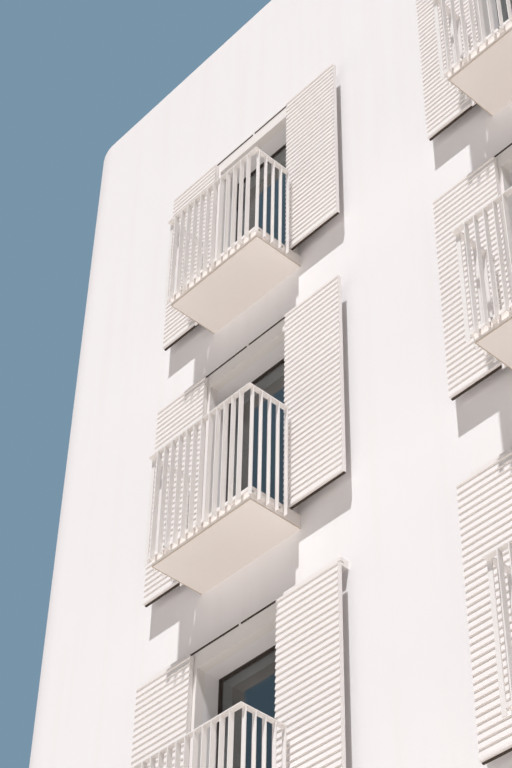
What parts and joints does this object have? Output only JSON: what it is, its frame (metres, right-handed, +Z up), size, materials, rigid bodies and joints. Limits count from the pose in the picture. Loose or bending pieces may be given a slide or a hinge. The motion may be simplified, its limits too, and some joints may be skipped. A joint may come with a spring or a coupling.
{
  "type": "apartment block",
  "caption": "White rendered apartment block with rounded corners, glazed balcony doors, sliding louvred shutters, small railed balconies and a high roof parapet",
  "frame": {"origin": "on the ground under the middle of the whole block, balconies included", "axes": "+X to the right along the front, +Y from the balconies towards the back, +Z up"},
  "size_m": [13.28, 10.409, 17.62],
  "materials": {
    "wall_render": "smooth white painted render on masonry",
    "floor_concrete": "screeded concrete",
    "balcony_render": "smooth off-white painted concrete",
    "surround_paint": "satin white powder coat on folded sheet metal",
    "railing_paint": "satin white paint on steel flats",
    "shutter_paint": "satin off-white powder coat on aluminium slats",
    "frame_paint": "dark brown powder coat on aluminium",
    "glass": "clear double glazing",
    "sill_stone": "honed pale stone"
  },
  "bodies": {
    "root": {"ground_slab": "floor_concrete", "floor_slabs": "floor_concrete", "roof_slab": "floor_concrete", "corner_walls": "wall_render", "front_piers": "wall_render", "front_spandrels": "wall_render", "back_piers": "wall_render", "back_spandrels": "wall_render", "left_piers": "wall_render", "left_spandrels": "wall_render", "right_piers": "wall_render", "right_spandrels": "wall_render", "balcony_slabs": "balcony_render", "door_surrounds": "surround_paint", "railing_fronts": "railing_paint", "railing_left_sides": "railing_paint", "railing_right_sides": "railing_paint", "left_shutters": "shutter_paint", "right_shutters": "shutter_paint", "shutter_tracks": "shutter_paint", "balcony_door_frames": "frame_paint", "balcony_door_glass": "glass", "entrance_frame": "frame_paint", "entrance_glass": "glass", "front_window_frames": "frame_paint", "front_window_glass": "glass", "back_window_frames": "frame_paint", "back_window_glass": "glass", "left_window_frames": "frame_paint", "left_window_glass": "glass", "right_window_frames": "frame_paint", "right_window_glass": "glass", "front_sills": "sill_stone", "back_sills": "sill_stone", "left_sills": "sill_stone", "right_sills": "sill_stone"}
  },
  "joints": []
}
